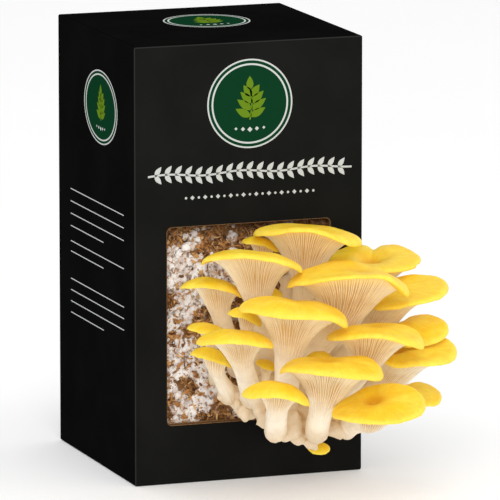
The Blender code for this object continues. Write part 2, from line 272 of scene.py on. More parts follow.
def makeFlesh(looks):
    material, tree, shader = newMaterial(
        "creamFlesh", Roughness=looks["roughness"], Subsurface_Weight=0.2,
        Subsurface_Scale=0.0022, Specular_IOR_Level=0.25)
    shader.inputs["Subsurface Radius"].default_value = (1.0, 0.8, 0.6)
    place = placeVector(tree)
    fibre = stored(tree, "silk").outputs["Vector"]
    gillShade = stored(tree, "gillShade").outputs["Fac"]
    reach = stored(tree, "reach").outputs["Fac"]
    streaks = mottle(tree, fibre, 1.0, 0.35, 0.7, 4.0)
    patches = mottle(tree, place, 120.0, 0.4, 0.7)
    root = stored(tree, "root").outputs["Fac"]
    color = mixColor(tree, reach, rgb(*looks["crest"]), rgb(*looks["stem"]))
    fade = calc(tree, "ADD", calc(tree, "MULTIPLY", patches, 0.35), root, clamp=True)
    color = mixColor(tree, fade, color, rgb(*looks["foot"]))
    color = mixColor(tree, calc(tree, "MULTIPLY", streaks, 0.18), color, rgb(*looks["shade"]))
    # Painted shade: the gills' valleys darken to deep ochre.
    color = mixColor(tree, gillShade, color, rgb(*looks["gillShade"]))
    color = mixColor(tree, stored(tree, "rim").outputs["Fac"], color, rgb(*looks["rim"]))
    # Painted shade: the base darkens to brown in its creases.
    color = mixColor(tree, stored(tree, "creaseShade").outputs["Fac"], color, rgb(*looks["creaseShade"]))
    tree.links.new(color, shader.inputs["Base Color"])
    # Painted light: a faint warm glow lifts the flesh's shadows.
    shader.inputs["Emission Color"].default_value = rgb(*looks["glow"])
    shader.inputs["Emission Strength"].default_value = looks["glowStrength"]
    height = calc(tree, "ADD", streaks, grain(tree, place, 500.0, 1600.0, 0.4))
    addBump(tree, shader, height, 0.3, 0.0004)
    return material


goldenSkin = makeCapSkin(capLooks)
creamFlesh = makeFlesh(fleshLooks)
print("mushroom materials made")


# One row for each mushroom, in millimetres and degrees, after the part's own table.
# cap: rim centre. half: half width and half depth. roll: right side down. pitch: front side up.
# crown: dome height. dimple: hollow over the stem. axis: stem's place under the cap.
# rim: lift of the rim at eight points, from the right tip round by the back. root: foot in the base.
# neck, foot: stem radii. flare: depth of the gill trumpet for the size of the cap.
# folds: turn and width of a lobe or nick in degrees, how far it draws in, and its lift.
# tips: how much thicker the rim is at its right and left ends.
def grown(cap, half, roll, pitch, crown, dimple, axis, rim, root, neck, foot,
          flare=0.85, folds=(), tips=(1.5, 1.3)):
    return dict(cap=cap, half=half, roll=roll, pitch=pitch, crown=crown, dimple=dimple, axis=axis,
                rim=rim, root=root, neck=neck, foot=foot, flare=flare, folds=folds, tips=tips)


flatRim = (0, 0, 0, 0, 0, 0, 0, 0)
growths = [
    grown((22, -104, 143), (30.5, 22), 4.5, 4, 7.5, 1.5, (-1, 4), (0, 1, 3, 1, 0, 2.2, 6.1, 0.7),
          (26, -84, 78), 6.5, 6),
    grown((1, -84, 136), (10.8, 10), 14, 8, 5.5, 0.5, (1, 0), (0, 1, 1, 0, 0, 0, 1, 0),
          (12, -73, 87), 3.4, 3.4),
    grown((-17, -121, 132), (27.5, 20), 5, 4, 9.5, 1.5, (1, 4), (0, 1.5, 3, 1.5, 0, 4.6, 6.9, 4.5),
          (5, -88, 66), 7, 6),
    grown((-32.5, -98, 114), (18.3, 14), 9, 4, 8.8, 0.5, (2, 3), (0, 1, 2, 1, 0, 2.4, 4.4, 2.9),
          (-12, -80, 66), 5.5, 5),
    grown((63.5, -92.5, 125.5), (27.8, 24), 0, -8, 2.5, 5.5, (0.5, 0), (0, 1.4, 1, 0.2, 0, 0, 1, 0),
          (46, -79, 68), 5.5, 5.5, 0.7,
          ((84, 6, 3.5, -2.9), (345, 5, 0.8, 0.0), (55, 17, 0, 1.9), (112, 16, 0, 1.3)), (0.5, 0.5)),
    grown((32, -140, 120), (33.6, 26), 3, -6, 11, 3, (5, 8), (0, 2.5, 8.8, 3.5, 0, 7.4, 13.8, 12.6),
          (17, -101, 63), 8.5, 7.5, 0.9, (), (2.6, 1.6)),
    grown((73, -125, 112), (23.8, 21), -11, -12, 2.5, 3, (-14, 9), (0, 1.8, 2.4, 1.5, 0, 0, 1.2, 0),
          (40, -88, 57.5), 6, 5.5, 0.9),
    grown((77, -133.5, 92), (16.5, 17), -8, -22, 2.5, 1.5, (-8, 14), flatRim,
          (49, -93, 48), 3.6, 4, 0.5),
    grown((72, -147, 81.5), (21.5, 20), -5, -10, 2.5, 2.5, (-12, 5), (0, 3.5, 1.3, 0, 0, -0.6, 1, -0.7),
          (45, -105, 39), 6, 5.5, 0.95),
    grown((41.5, -158, 93), (27.6, 20), 3.3, -3, 8.5, 2, (0, 6), (0, 5.8, 3.9, -1.2, 0, 3.3, 7.2, 3),
          (33, -116, 44), 6.5, 6, 0.85, (), (2.3, 1.2)),
    grown((-5.5, -154, 109.5), (30, 22), 8.6, 0, 9, 2, (0, 5), (0, 5, 3, 3, 0, 1.8, 2.5, 4.5),
          (4, -116, 49), 7.5, 7, 0.85, ((90, 13, 0, -1.6),), (2.0, 1.4)),
    grown((-24, -127, 104), (9.9, 9), 20, 5, 6.5, 0.3, (1, 2), (0, 0, 0, 0, 0, 0, 1, 0),
          (-4, -96, 62), 3.6, 4),
    grown((11, -172, 80), (29.3, 21), 1.5, -1, 7, 2.5, (-2, 5), (0, 5.9, 2.3, 3.5, 0, 3.9, 2.5, 0.6),
          (15, -138, 40), 6.8, 7),
    grown((37, -178, 58.5), (26.5, 20.6), -5, -21, 5, 5, (-3, 7), (0, 3.1, 4, 0.8, 0, 4.5, 4, 2.2),
          (36, -130, 38), 6.5, 6, 0.6, (), (0.9, 0.9)),
    grown((81, -125.5, 53.5), (13, 12), 8, -21, 2.5, 0.5, (-6, 2), (0, 0, 1.2, 0, 0, 0, 1.2, 0),
          (57, -100, 38), 3.6, 3.6, 0.6),
    grown((-37, -103, 93), (11.8, 10), 12, 4, 5.3, 0.3, (2, 2), (0, 0, 1, 0, 0, 0, 0, 0),
          (-23.5, -76, 60), 3.4, 3.4),
    grown((-35.5, -145, 94), (21, 16), 2, 2, 8, 0.7, (2, 3), (0, 2, 2, 2.5, 0, 1.3, 3, 1.3),
          (-13, -107, 54.5), 6, 6),
    grown((-40, -116, 80), (12.2, 10), 17, 8, 6.9, 0.3, (2, 2), (0, 0, 1, 0, 0, 0, 0, 0),
          (-22.5, -95, 54), 4, 5, 1),
    grown((-7.5, -118, 75.5), (6.2, 6), 17, -14, 1.5, 0.3, (0, 0), flatRim,
          (-3, -106, 56), 2.6, 2.8),
    grown((18, -134, 80), (7.9, 8), 0, 10, 4.5, 0.3, (0, 0), (0, 0, 0, 0, 0, 0, 0.4, 0),
          (25, -117, 55), 2.8, 2.8),
    grown((-20, -168, 66), (19.5, 15), 9, 2, 10.3, 0.5, (1, 3), (0, 0, 2, 0, 0, 0.7, 3.8, 2.4),
          (-8, -134, 41), 6.0, 6.5, 0.72),
    grown((22.5, -120, 26.5), (6.6, 4.9), 8, -40, 2, 1.2, (-2, 3), (0, 0, -1, 0, 0, 0, 0, 0),
          (20, -106, 29), 2.6, 2.8),
    grown((0, -95, 112), (10, 9), 14, 5, 4, 0.3, (0, 0), flatRim,
          (6, -79, 78), 3, 3),
]

capPlan = {
    "viewTurn": -20,
    "crownPower": 2.4,
    "bluntness": 0.86,
    "tipLift": 0.9,
    "nearLift": 1.0,
    "dimpleSpread": 0.3,
    "rimPower": 2.5,
    "rimThick": 1.6,
    "coreThick": 4.0,
    "droop": 0.7,
    "crownLift": 0.35,
    "standardMean": 26,
    "wideHalf": 14,
    "around": 144,
    "rows": 30,
    "smallAround": 96,
    "smallRows": 20,
    "hollowStep": 4.5,
    "lumps": ((140, 0.22), (420, 0.07)),
    "waveHeight": 0.28,
    "waves": ((7, 0.5), (11, 0.35), (17, 0.25), (29, 0.12)),
}

gillPlan = {
    "edge": 0.93,
    "slope": 48,
    "wideHalf": 20,
    "middleHalf": 14,
    "wide": 116,
    "middle": 92,
    "small": 50,
    "depth": 1.0,
    "funnel": 1.38,
    "funnelRows": (0, 0.02, 0.045, 0.075, 0.11, 0.155, 0.21, 0.275, 0.35, 0.44, 0.54, 0.65, 0.77, 0.89),
    "stemRows": 6,
    "flareShare": 0.25,
    "flarePower": 7,
    "neckPower": 1.55,
    "push": 0.5,
    "pushScale": 110,
}


def ease(value, low, high):
    part = np.clip((value - low) / (high - low), 0, 1)
    return part * part * (3 - 2 * part)


def lengths(vectors):
    return np.sqrt((vectors ** 2).sum(-1))


def settled(row):
    m = dict(row)
    m["centre"] = np.array(row["cap"]) * mm
    m["halves"] = np.array(row["half"]) * mm
    m["mean"] = m["halves"].mean()
    m["start"] = row["cap"][0]
    turn = Matrix.Rotation(math.radians(capPlan["viewTurn"]), 3, "Z")
    roll = Matrix.Rotation(math.radians(row["roll"]), 3, "Y")
    pitch = Matrix.Rotation(math.radians(-row["pitch"]), 3, "X")
    m["turned"] = np.array(turn @ roll @ pitch)
    m["stemPlace"] = np.array(row["axis"]) * mm
    m["neckRadius"], m["footRadius"] = row["neck"] * mm, row["foot"] * mm
    m["funnel"] = row["flare"] * m["mean"] * gillPlan["funnel"]
    m["size"] = m["mean"] / (capPlan["standardMean"] * mm)
    m["spine"] = spineControls(m)
    steps = spineAt(m, np.linspace(0, 1, 41))[0]
    m["length"] = lengths(np.diff(steps, axis=0)).sum()
    m["funnel"] = min(m["funnel"], m["length"] * 0.8)
    return m


def outline(m, angle):
    return 1 + 0.025 * np.sin(2 * angle + m["start"]) + 0.02 * np.sin(3 * angle + 2 * m["start"])


def foldShare(angle, turn, width):
    off = (np.degrees(angle) - turn + 180) % 360 - 180
    return np.exp(-(off / width) ** 2)


def rimPoint(m, angle):
    reach = outline(m, angle)
    for turn, width, inward, _ in m["folds"]:
        reach = reach - inward * mm / m["mean"] * foldShare(angle, turn, width)
    return np.stack([m["halves"][0] * reach * np.cos(angle), m["halves"][1] * reach * np.sin(angle)], -1)


def rimLift(m, angle):
    lifts = np.array(m["rim"], float)
    place = (angle / (2 * np.pi) * 8) % 8
    index = np.floor(place).astype(int) % 8
    part = place - np.floor(place)
    before, here, there, after = (lifts[(index + step) % 8] for step in (-1, 0, 1, 2))
    bend = part * part * (3 - 2 * part)
    tilt = (there - before) / 2 * (1 - part) - (after - here) / 2 * part
    return here + (there - here) * bend + part * (1 - part) * tilt


def rimWaves(m, angle):
    total = 0
    for count, high in capPlan["waves"]:
        total = total + high * np.sin(count * angle + m["start"] * (1 + 0.37 * count))
    return total * capPlan["waveHeight"]


# Height of the cap's skin over a flat place in the cap. A plain one has no waves, folds or droop.
def capHeight(m, point, plain=False):
    flat = point / m["halves"]
    angle = np.arctan2(flat[..., 1], flat[..., 0])
    share = lengths(flat) / outline(m, angle)
    dome = 1 - share ** capPlan["crownPower"]
    if not plain:
        dome = np.clip(dome, 0, 1) ** capPlan["bluntness"]
    offAxis = lengths(point - m["stemPlace"]) / (capPlan["dimpleSpread"] * m["mean"])
    high = m["crown"] * dome - m["dimple"] * np.exp(-offAxis ** 2)
    high = high + rimLift(m, angle) * share ** capPlan["rimPower"]
    if plain:
        return high * mm
    high = high + rimWaves(m, angle) * share ** 5 + capPlan["crownLift"] * m["size"]
    tips = np.cos(angle) ** 6
    near = capPlan["nearLift"] * (1 - tips) * (flat[..., 1] < 0) * np.abs(np.sin(angle)) ** 2
    high = high - capPlan["droop"] * m["size"] * ease(share, 0.86, 1.0) ** 2 * (1 - tips)
    high = high + m["size"] * (capPlan["tipLift"] * tips + near) * ease(share, 0.5, 1.0)
    for turn, width, _, lift in m["folds"]:
        high = high + lift * foldShare(angle, turn, width) * share ** 2
    return high * mm


def capThickness(m, share):
    rim, core = capPlan["rimThick"] * mm, capPlan["coreThick"] * mm
    return (rim + (core - rim) * (1 - share)) * m["size"]


def inCap(m, share, angle):
    edge = rimPoint(m, angle)
    return m["stemPlace"] + (edge - m["stemPlace"]) * np.asarray(share)[..., None]


def capSkin(m, share, angle, below=0.0):
    point = inCap(m, share, angle)
    local = np.concatenate([point, (capHeight(m, point) - below)[..., None]], -1)
    return m["centre"] + local @ m["turned"].T


def unit(vector):
    return vector / lengths(vector)[..., None]


def spineControls(m):
    root = np.array(m["root"]) * mm
    zero = np.zeros(1)
    top = capSkin(m, zero, zero, capThickness(m, zero))[0]
    lean = unit(top - root)
    length = lengths(top - root)
    leave = unit(np.array((0, -0.24, 0.97)) * 0.3 + lean * 0.7)
    arrive = unit(m["turned"][:, 2] * 0.6 + lean * 0.4)
    return root, root + leave * 0.35 * length, top - arrive * 0.4 * length, top


def spineAt(m, share):
    a, b, c, d = m["spine"]
    s = np.asarray(share, float)[..., None]
    r = 1 - s
    point = a * r ** 3 + b * 3 * s * r ** 2 + c * 3 * s ** 2 * r + d * s ** 3
    slope = (b - a) * r ** 2 + (c - b) * 2 * s * r + (d - c) * s ** 2
    return point, unit(slope)


# One ring of the stem, as far below the cap as drop says. Gills sink between their ridges.
def stemRing(m, drop, angle, ridge, depth):
    point, slope = spineAt(m, max(1 - drop / m["length"], 0))
    turn = float(ease(drop / m["funnel"], 0.2, 1))
    up = m["turned"][:, 2]
    normal = unit(up + (slope - up) * turn)
    across = m["turned"][:, 0]
    across = unit(across - normal * across.dot(normal))
    away = np.cross(normal, across)
    left = max(1 - drop / m["funnel"], 0)
    flare = gillPlan["flareShare"]
    wide = flare * left ** gillPlan["flarePower"] + (1 - flare) * left ** gillPlan["neckPower"]
    low = max(drop - m["funnel"], 0) / max(m["length"] - m["funnel"], mm)
    radius = m["neckRadius"] + (m["footRadius"] - m["neckRadius"]) * low
    axisPoint = m["stemPlace"]
    middle = capHeight(m, axisPoint) - capThickness(m, 0)
    edge = inCap(m, np.full(len(angle), gillPlan["edge"]), angle) - axisPoint
    circle = np.stack([np.cos(angle), np.sin(angle)], -1)
    reach = edge * wide + circle * radius * (1 - wide)
    place = axisPoint + reach
    flat = lengths(place / m["halves"])
    lift = (capHeight(m, place) - capThickness(m, np.minimum(flat, 1)) - middle) * wide ** 0.5
    inward = -unit(reach)
    sink = depth * (1 - ridge)
    steep = math.radians(gillPlan["slope"]) * wide ** 0.5
    reach = reach + inward * (sink * math.cos(steep))[:, None]
    lift = lift + sink * math.sin(steep)
    return point + across * reach[:, :1] + away * reach[:, 1:] + normal * lift[:, None]


def addPiece(name, verts, faces, material, floats=None, vectors=None, flat=False):
    mesh = bpy.data.meshes.new(name)
    mesh.from_pydata([tuple(v) for v in verts], [], faces)
    for label, values in (floats or {}).items():
        layer = mesh.attributes.new(label, "FLOAT", "POINT")
        layer.data.foreach_set("value", np.asarray(values, np.float32))
    for label, values in (vectors or {}).items():
        layer = mesh.attributes.new(label, "FLOAT_VECTOR", "POINT")
        layer.data.foreach_set("vector", np.asarray(values, np.float32).ravel())
    mesh.materials.append(material)
    if not flat:
        mesh.shade_smooth()
    piece = bpy.data.objects.new(name, mesh)
    scene.collection.objects.link(piece)
    return piece


def ringFaces(rows, count):
    faces = []
    for row in range(rows - 1):
        here, below = row * count, (row + 1) * count
        for index in range(count):
            after = (index + 1) % count
            faces.append((here + index, below + index, below + after, here + after))
    first, last = rows * count, rows * count + 1
    bottom = (rows - 1) * count
    for index in range(count):
        after = (index + 1) % count
        faces.append((first, index, after))
        faces.append((last, bottom + after, bottom + index))
    return faces


def finishPiece(piece, slotName, *nodes):
    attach(piece, bodyName)
    if nodes:
        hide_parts(*nodes)
    return piece


# Lengthwise places for streaks that run from the middle to the rim.
def fibrePlaces(angle, along):
    return np.stack([np.cos(angle) * 9, np.sin(angle) * 9, np.full(len(angle), along)], -1)


def unevenness(verts, lumps):
    (coarse, coarseHigh), (fine, fineHigh) = lumps
    return np.array([noise.noise(Vector(v) * coarse) * coarseHigh + noise.noise(Vector(v) * fine) * fineHigh
                     for v in verts])


# A smooth uneven push in all three directions, the same in every run.
def pushes(verts, scale):
    return np.array([[noise.noise(Vector(v) * scale + Vector((axis * 9, 0, 0))) for axis in range(3)]
                     for v in verts])


def makeCap(number, m):
    wide = m["half"][0] >= capPlan["wideHalf"]
    count = capPlan["around" if wide else "smallAround"]
    rows = capPlan["rows" if wide else "smallRows"]
    angle = np.linspace(0, 2 * np.pi, count, endpoint=False)
    right, left = m["tips"]
    side = np.cos(angle + 0.15)
    tips = 1 + right * np.clip(side, 0, 1) ** 6 + left * np.clip(-side, 0, 1) ** 6
    rim = capThickness(m, 1) * tips
    roll = rim / 2 / lengths(rimPoint(m, angle) - m["stemPlace"])
    rings, lips = [], []
    for share in (np.arange(1, rows + 1) / rows) ** 0.9:
        rings.append((share * (1 - roll), np.zeros(count)))
        lips.append(float(ease(share, 0.95, 1.0)) * 0.25)
    for turn in range(25, 180, 25):
        out = math.sin(math.radians(turn))
        rings.append((1 - roll + roll * out, rim / 2 * (1 - math.cos(math.radians(turn)))))
        lips.append(0.35)
    for share in (1, 0.95, 0.88, 0.7, 0.4):
        thicker = 1 + (tips - 1) * float(ease(share, 0.75, 1))
        rings.append((share * (1 - roll), capThickness(m, share) * thicker))
        lips.append(0.6)
    points, shades, silks = [], [], []
    step = capPlan["hollowStep"] * mm
    for share, below in rings:
        points.append(capSkin(m, share, angle, below))
        flat = inCap(m, share, angle)
        own = capHeight(m, flat, True)
        around = [capHeight(m, flat + np.array(way) * step, True)
                  for way in ((1, 0), (-1, 0), (0, 1), (0, -1))]
        hollow = sum(around) / 4 - own
        offAxis = lengths(flat - m["stemPlace"]) / (0.42 * m["mean"])
        # Painted shade: ochre in the skin's hollows and in the dimple over the stem, none at the rim.
        shade = ease(hollow / mm, -0.1, 1.2) * 0.6 + 0.28 * np.exp(-offAxis ** 2)
        shades.append(shade * (1 - ease(share, 0.9, 1.0)))
        silks.append(fibrePlaces(angle, share * 3 + number))
    zero = np.zeros(1)
    top = capSkin(m, zero, zero)[0]
    bottom = capSkin(m, zero, zero, capThickness(m, zero))[0]
    verts = np.concatenate(points + [top[None], bottom[None]])
    verts = verts + m["turned"][:, 2] * (unevenness(verts, capPlan["lumps"]) * mm)[:, None]
    floats = {
        "shade": np.concatenate(shades + [[0.35], [0.3]]),
        "lip": np.concatenate([np.full(count, value) for value in lips] + [[0], [1]]),
    }
    silk = np.concatenate(silks + [np.tile((0, 0, number), (2, 1))])
    faces = ringFaces(len(rings), count)
    piece = addPiece(f"cap{number:02d}", verts, faces, goldenSkin, floats, {"silk": silk})
    return finishPiece(piece, "cap_skin", f"cap_{number:02d}")


def makeStem(number, m, chance):
    half = m["half"][0]
    gills = gillPlan["small"]
    if half >= gillPlan["middleHalf"]:
        gills = gillPlan["wide" if half >= gillPlan["wideHalf"] else "middle"]
    step = 2 * np.pi / gills
    middle = (np.arange(gills) + chance.uniform(-0.2, 0.2, gills)) * step
    offsets = np.array((-0.5, -0.24, 0, 0.24)) * step
    angle = (middle[:, None] + offsets).ravel()
    profile = np.tile((0, 0.6, 1, 0.6), gills)
    rank = np.repeat(np.arange(gills), 4)
    fadeFrom = np.where(rank % 2 == 1, 0.2, np.where(rank % 4 == 2, 0.5, 1.1))
    fadeFrom = fadeFrom + np.repeat(chance.uniform(-0.08, 0.08, gills), 4)
    count = len(angle)
    depth = gillPlan["depth"] * mm * max(m["size"], 0.55)
    drops = [share * m["funnel"] for share in gillPlan["funnelRows"]]
    left = m["length"] - m["funnel"]
    drops += [m["funnel"] + left * share for share in np.linspace(0, 1, gillPlan["stemRows"])]
    points, gillShades, reaches, silks, rims, roots = [], [], [], [], [], []
    # Painted shade: the gill valleys darken most just under the cap and on the side that faces front.
    facing = np.cos(angle + np.pi / 2)
    frontShadeShare = 0.35 + 0.65 * np.exp(-((1 - facing) / 0.45) ** 2)
    for share in (0.55, gillPlan["edge"]):
        rims.append(np.full(count, 0.8))
        under = np.full(count, share)
        points.append(capSkin(m, under, angle, capThickness(m, under) - 0.1 * mm))
        gillShades.append(np.full(count, 0.8))
        reaches.append(np.zeros(count))
        roots.append(np.zeros(count))
        silks.append(fibrePlaces(angle, number))
    for drop in drops:
        t = drop / m["funnel"]
        keep = 1 - ease(t, fadeFrom, fadeFrom + 0.3)
        ridge = profile * keep
        deep = depth * (1 - 0.6 * float(ease(t, 0.35, 1.0))) * (1 - 0.85 * float(ease(t, 1.0, 2.4)))
        points.append(stemRing(m, drop, angle, ridge, deep))
        underCapShade = 0.25 + 0.75 * float(ease(t, -0.05, 0.1)) * (1 - float(ease(t, 0.25, 0.8))) * frontShadeShare
        underCapShade = underCapShade * (1 - float(ease(t, 0.75, 1.05)))
        gillShades.append(np.clip(1.15 - ridge * 1.1, 0, 1) * underCapShade)
        roots.append(np.full(count, 0.75 * float(ease(drop / m["length"], 0.75, 1.0))))
        rims.append(np.full(count, 0.75 * (1 - float(ease(t, 0.0, 0.12)))))
        reaches.append(np.full(count, float(ease(t, 0.1, 0.9))))
        silks.append(fibrePlaces(angle, drop * 60 + number))
    centre, slope = spineAt(m, 0)
    foot = points[-1] - centre
    for turn in (22, 44, 64, 80):
        out, down = math.cos(math.radians(turn)), math.sin(math.radians(turn))
        points.append(centre + foot * out - slope * down * m["footRadius"])
        gillShades.append(np.zeros(count))
        rims.append(np.zeros(count))
        reaches.append(np.ones(count))
        roots.append(np.full(count, 0.85))
        silks.append(silks[-1] + (0, 0, 0.05))
    zero = np.zeros(1)
    top = capSkin(m, zero, zero, capThickness(m, zero))[0]
    verts = np.concatenate(points + [top[None], (centre - slope * m["footRadius"])[None]])
    reach = np.concatenate(reaches + [[0], [1]])
    verts = verts + pushes(verts, gillPlan["pushScale"]) * (gillPlan["push"] * mm) * reach[:, None]
    floats = {"gillShade": np.concatenate(gillShades + [[1], [0]]), "reach": reach,
              "rim": np.concatenate(rims + [[1], [0]]), "root": np.concatenate(roots + [[0], [1]])}
    silk = np.concatenate(silks + [np.tile((0, 0, number), (2, 1))])
    faces = ringFaces(len(points), count)
    piece = addPiece(f"stem{number:02d}", verts, faces, creamFlesh, floats, {"silk": silk})
    return finishPiece(piece, "flesh", f"stem_{number:02d}")


mushrooms = [settled(row) for row in growths]
chance = np.random.default_rng(11)
for number, m in enumerate(mushrooms, 1):
    makeCap(number, m)
    makeStem(number, m, chance)
print("caps and stems made:", len(mushrooms))


# Balls along each lobe and at each foot are fused by a voxel remesh and then smoothed.
# A lump has a centre and radii. A lobe has two ends and the radius at each. Millimetres.
basePlan = {
    "lumps": (
        ((14, -78, 70), (24, 14, 16)), ((20, -92, 54), (26, 17, 14)), ((17, -108, 45), (20, 14, 9)),
    ),
    "lobes": (
        ((-14, -112, 60), (-9, -122, 45), 5.0, 5.5), ((-22, -88, 58), (-15, -96, 50), 4.5, 5.5),
        ((-17, -94, 54), (-14, -104, 45), 5.0, 4.0), ((-5, -108, 62), (-1, -124, 47), 6.0, 5.0),
        ((2, -118, 56), (4, -130, 40), 6.0, 5.5), ((6, -122, 44), (8, -128, 34), 5.5, 4.0),
        ((3, -124, 38), (-1, -128, 36), 4.0, 3.2), ((12, -126, 40), (16, -126, 30), 4.0, 3.2),
        ((28, -112, 48), (30, -128, 38), 6.5, 5.0), ((34, -108, 50), (44, -122, 42), 6.0, 4.5),
        ((40, -112, 44), (52, -118, 43), 4.5, 3.5), ((24, -128, 40), (30, -134, 38), 4.5, 3.5),
        ((15, -82, 84), (18.5, -80, 114), 5.5, 4.6), ((25, -92, 80), (28, -97, 101), 7.0, 6.0),
        ((42, -108, 42), (55, -112, 61), 6.0, 5.0),
    ),
    "collar": -0.9,
    "knobs": 90,
    "knobSize": (1.9, 3.7),
    "crumbs": 200,
    "crumbSize": (0.8, 1.8),
    "voxel": 0.95,
    "smoothing": 3,
    "lumpNoise": ((210, 0.5), (520, 0.2)),
    "creaseDepth": 0.22,
    "panelFace": -68.5,
    "blockFace": -64.4,
    "sill": 34.0,
}


def averaged(verts, edges, rounds):
    count = np.bincount(edges.ravel(), minlength=len(verts))[:, None]
    for _ in range(rounds):
        total = np.zeros_like(verts)
        np.add.at(total, edges[:, 0], verts[edges[:, 1]])
        np.add.at(total, edges[:, 1], verts[edges[:, 0]])
        verts = verts * 0.5 + total / np.maximum(count, 1) * 0.5
    return verts


def ballShape(subdivisions):
    shape = bmesh.new()
    bmesh.ops.create_icosphere(shape, subdivisions=subdivisions, radius=1)
    verts = np.array([v.co for v in shape.verts])
    faces = np.array([[v.index for v in f.verts] for f in shape.faces])
    shape.free()
    return verts, faces


def makeBase(plan, chance):
    ballVerts, ballFaces = ballShape(2)
    balls = []
    for centre, radii in plan["lumps"]:
        balls.append((np.array(centre) * mm, np.array(radii) * mm))
    for first, last, wide, narrow in plan["lobes"]:
        for share in np.linspace(0, 1, 7):
            radius = (wide + (narrow - wide) * share) * mm * chance.uniform(0.92, 1.08, 3)
            swing = chance.normal(0, 0.35, 3)
            spot = np.array(first) + (np.array(last) - np.array(first)) * share + swing
            balls.append((spot * mm, radius))
    for m in mushrooms:
        wide = m["footRadius"] + plan["collar"] * mm
        for share in (0, 0.05, 0.1):
            balls.append((spineAt(m, share)[0] + (0, 0.8 * mm, 0), np.full(3, wide * (1 - share))))
    large = list(balls)
    for kind, lean in (("knob", 0.3), ("crumb", 0.9)):
        for _ in range(plan[kind + "s"]):
            centre, radii = large[chance.integers(len(large))]
            out = unit(chance.normal(0, 1, 3) * (1, 0.7, 0.6) + (0, -0.5, -lean))
            size = chance.uniform(*plan[kind + "Size"]) * mm * chance.uniform(0.75, 1.3, 3)
            balls.append((centre + out * (radii - (1.2 * mm if kind == "knob" else 0)), size))
    verts = np.concatenate([ballVerts * radii + centre for centre, radii in balls])
    faces = np.concatenate([ballFaces + index * len(ballVerts) for index in range(len(balls))])
    mesh = bpy.data.meshes.new("fusedBase")
    mesh.from_pydata(verts.tolist(), [], faces.tolist())
    rough = bpy.data.objects.new("fusedBaseRough", mesh)
    scene.collection.objects.link(rough)
    fuse = rough.modifiers.new("fuse", "REMESH")
    fuse.mode, fuse.voxel_size = "VOXEL", plan["voxel"] * mm
    bpy.context.view_layer.update()
    done = bpy.data.meshes.new_from_object(rough.evaluated_get(bpy.context.evaluated_depsgraph_get()))
    verts = np.array([v.co for v in done.vertices])
    faces = [tuple(f.vertices) for f in done.polygons]
    edges = np.array([tuple(e.vertices) for e in done.edges])
    bpy.data.objects.remove(rough)
    verts = averaged(verts, edges, plan["smoothing"])
    done.vertices.foreach_set("co", verts.astype(np.float32).ravel())
    done.update()
    normals = np.array([v.normal for v in done.vertices])
    # Painted shade: darker where the fused base has creases between its lobes.
    hollow = ((averaged(verts, edges, 14) - verts) * normals).sum(-1)
    creaseShade = ease(hollow / mm, 0.0, plan["creaseDepth"]) * 0.8
    verts = verts + normals * (unevenness(verts, plan["lumpNoise"]) * mm)[:, None]
    verts[:, 1] = np.minimum(verts[:, 1], plan["blockFace"] * mm)
    inside = (verts[:, 1] > plan["panelFace"] * mm) & (verts[:, 2] < plan["sill"] * mm)
    verts[inside, 2] = plan["sill"] * mm
    floats = {"gillShade": np.zeros(len(verts)), "reach": np.ones(len(verts)), "creaseShade": creaseShade,
              "root": np.full(len(verts), 0.85)}
    piece = addPiece("fusedBase", verts, faces, creamFlesh, floats, {"silk": verts * 200})
    return finishPiece(piece, "flesh", "mushroom_base")


makeBase(basePlan, np.random.default_rng(3))
print("fused base made")


# The block's front is finely meshed behind the window and coarse elsewhere. Millimetres.
blockPlan = {
    "half": 65.8,
    "low": 1.9,
    "high": 227.9,
    "front": -62.8,
    "back": 65.8,
    "fineHalf": 52,
    "fineLow": 30,
    "fineHigh": 150,
    "pitch": 0.7,
    "flakes": 1900,
    "straws": 700,
    "crumbs": 1000,
    "puffs": 900,
    "scatter": 0.4,
    "huskArea": (-50.5, 50.5, 31, 149),
    "puffArea": (-50, 50, 32, 148),
    "clearHalf": 46,
    "clearLow": 37,
    "clearHigh": 144,
    "nearest": -67.6,
    "nearestAtEdge": -66.0,
    "farthest": -60.5,
    "puffNearest": -65.9,
    "puffPush": 0.5,
    "puffPushScale": 600,
}

myceliumLooks = {
    "white": (0.94, 0.91, 0.88),
    "lilac": (0.66, 0.575, 0.54),
    "straw": (0.22, 0.11, 0.045),
    "dark": (0.06, 0.028, 0.013),
}

huskLooks = {
    "pale": (0.72, 0.45, 0.20),
    "brown": (0.50, 0.23, 0.07),
    "dark": (0.16, 0.065, 0.022),
    "deep": (0.07, 0.028, 0.012),
# Painted shadow colour along the window's top.
}


def makeMycelium(looks):
    material, tree, shader = newMaterial("mycelium", Roughness=0.95, Specular_IOR_Level=0.15)
    place = placeVector(tree)
    specks = mottle(tree, place, 330.0, 0.54, 0.62, 6.0)
    lilac = mottle(tree, place, 150.0, 0.42, 0.68, 3.0)
    brown = stored(tree, "brown").outputs["Fac"]
    ragged = spread(tree, calc(tree, "ADD", brown, mottle(tree, place, 260.0, 0.3, 0.7, 6.0)), 0.75, 1.25)
    color = mixColor(tree, lilac, rgb(*looks["white"]), rgb(*looks["lilac"]))
    color = mixColor(tree, calc(tree, "MULTIPLY", specks, 0.75), color, rgb(*looks["straw"]))
    color = mixColor(tree, ragged, color, rgb(*looks["straw"]))
    color = mixColor(tree, calc(tree, "MULTIPLY", ragged, specks), color, rgb(*looks["dark"]))
    # Painted shadow along the window's top and behind the highest stems.
    color = mixColor(tree, stored(tree, "deep").outputs["Fac"], color, rgb(*looks["dark"]))
    tree.links.new(color, shader.inputs["Base Color"])
    addBump(tree, shader, grain(tree, place, 350.0, 1400.0, 0.3), 0.35, 0.001)
    return material


